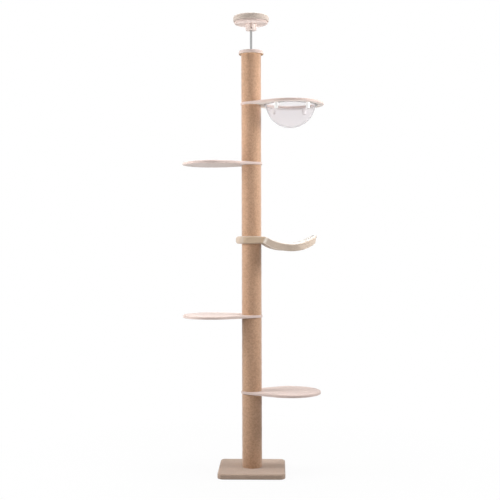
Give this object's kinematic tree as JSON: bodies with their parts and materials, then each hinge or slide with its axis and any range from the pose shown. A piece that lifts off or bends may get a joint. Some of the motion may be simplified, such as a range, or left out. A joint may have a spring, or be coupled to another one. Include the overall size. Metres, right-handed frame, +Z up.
{
  "type": "cat tree",
  "caption": "Floor-to-ceiling cat tree: rope-wrapped post on a square base, teardrop shelves, padded cradle, clear bowl and a screw jack with a ceiling disc.",
  "frame": {"origin": "on the floor, under the middle of the square base, on the axis of the post", "axes": "+Z up along the post; +X towards the arms with the bowl, the cradle and the lower right shelf; -X towards the other two shelves; -Y is the side seen from the front"},
  "size_m": [0.853, 0.4, 2.754],
  "materials": {
    "anti_slip_rubber": "matt",
    "chipboard": "raw sanded board",
    "plywood": "sanded plywood",
    "plush": "short beige plush",
    "tan_plush": "soft tan plush",
    "backed_board": "plywood with a pale non-woven backing on its underside",
    "sisal_rope": "wound natural sisal rope",
    "paper_tube": "wound grey-brown board",
    "plug_wood": "turned beech",
    "zinc_steel": "zinc plated",
    "white_plastic": "satin moulded",
    "clear_acrylic": "clear, lightly hazed"
  },
  "bodies": {
    "post": {"base_underlay": "anti_slip_rubber", "base_board": "chipboard", "base_cover": "tan_plush", "base_washer": "zinc_steel", "base_bolt": "zinc_steel", "rope_wrap_1": "sisal_rope", "post_tube_1": "paper_tube", "end_plugs_1": "plug_wood", "rope_wrap_2": "sisal_rope", "post_tube_2": "paper_tube", "end_plugs_2": "plug_wood", "rope_wrap_3": "sisal_rope", "post_tube_3": "paper_tube", "end_plugs_3": "plug_wood", "rope_wrap_4": "sisal_rope", "post_tube_4": "paper_tube", "end_plugs_4": "plug_wood", "rope_wrap_5": "sisal_rope", "post_tube_5": "paper_tube", "end_plugs_5": "plug_wood", "rope_wrap_6": "sisal_rope", "post_tube_6": "paper_tube", "end_plugs_6": "plug_wood", "plug_inserts": "zinc_steel", "connector_studs": "zinc_steel", "rod_nut": "zinc_steel", "cap_board": "chipboard", "cap_cover": "plush", "cap_screws": "zinc_steel"},
    "lower_right_shelf": {"shelf_board_lower_right": "backed_board", "shelf_cover_lower_right": "plush"},
    "lower_left_shelf": {"shelf_board_lower_left": "backed_board", "shelf_cover_lower_left": "plush"},
    "cradle": {"cradle_board": "plywood", "cradle_pad": "tan_plush"},
    "upper_left_shelf": {"shelf_board_upper_left": "backed_board", "shelf_cover_upper_left": "plush"},
    "bowl_arm": {"ring_board": "backed_board", "ring_cover": "plush", "clear_bowl": "clear_acrylic", "bowl_screws": "zinc_steel", "bowl_spacers": "white_plastic", "bowl_knobs": "white_plastic"},
    "ceiling_disc": {"ceiling_disc_lower": "plush", "ceiling_disc_board": "chipboard", "ceiling_disc_cover": "plush", "ceiling_grip_pad": "anti_slip_rubber", "swivel_socket": "white_plastic", "socket_screws": "zinc_steel", "disc_screws": "zinc_steel"},
    "jack": {"jack_rod": "zinc_steel", "hand_knob": "white_plastic"}
  },
  "joints": [
    {"name": "lower_right_shelf_turn", "type": "hinge", "parent": "post", "child": "lower_right_shelf", "pos_m": [0, 0, 0.485], "axis": [0, 0, 1], "continuous": true},
    {"name": "lower_left_shelf_turn", "type": "hinge", "parent": "post", "child": "lower_left_shelf", "pos_m": [0, 0, 0.945], "axis": [0, 0, 1], "continuous": true},
    {"name": "cradle_turn", "type": "hinge", "parent": "post", "child": "cradle", "pos_m": [0, 0, 1.405], "axis": [0, 0, 1], "continuous": true},
    {"name": "upper_left_shelf_turn", "type": "hinge", "parent": "post", "child": "upper_left_shelf", "pos_m": [0, 0, 1.865], "axis": [0, 0, 1], "continuous": true},
    {"name": "bowl_arm_turn", "type": "hinge", "parent": "post", "child": "bowl_arm", "pos_m": [0, 0, 2.225], "axis": [0, 0, 1], "continuous": true},
    {"name": "jack_height", "type": "slide", "parent": "post", "child": "ceiling_disc", "axis": [0, 0, 1], "range_m": [-0.11, 0.08]},
    {"name": "jack_turn", "type": "hinge", "parent": "ceiling_disc", "child": "jack", "pos_m": [0, 0, 2.6875], "axis": [0, 0, 1], "range_deg": [-9900, 7200]}
  ],
  "couplings": [
    {"joint": "jack_turn", "follows": "jack_height", "rad_per_m": 1570.8}
  ]
}
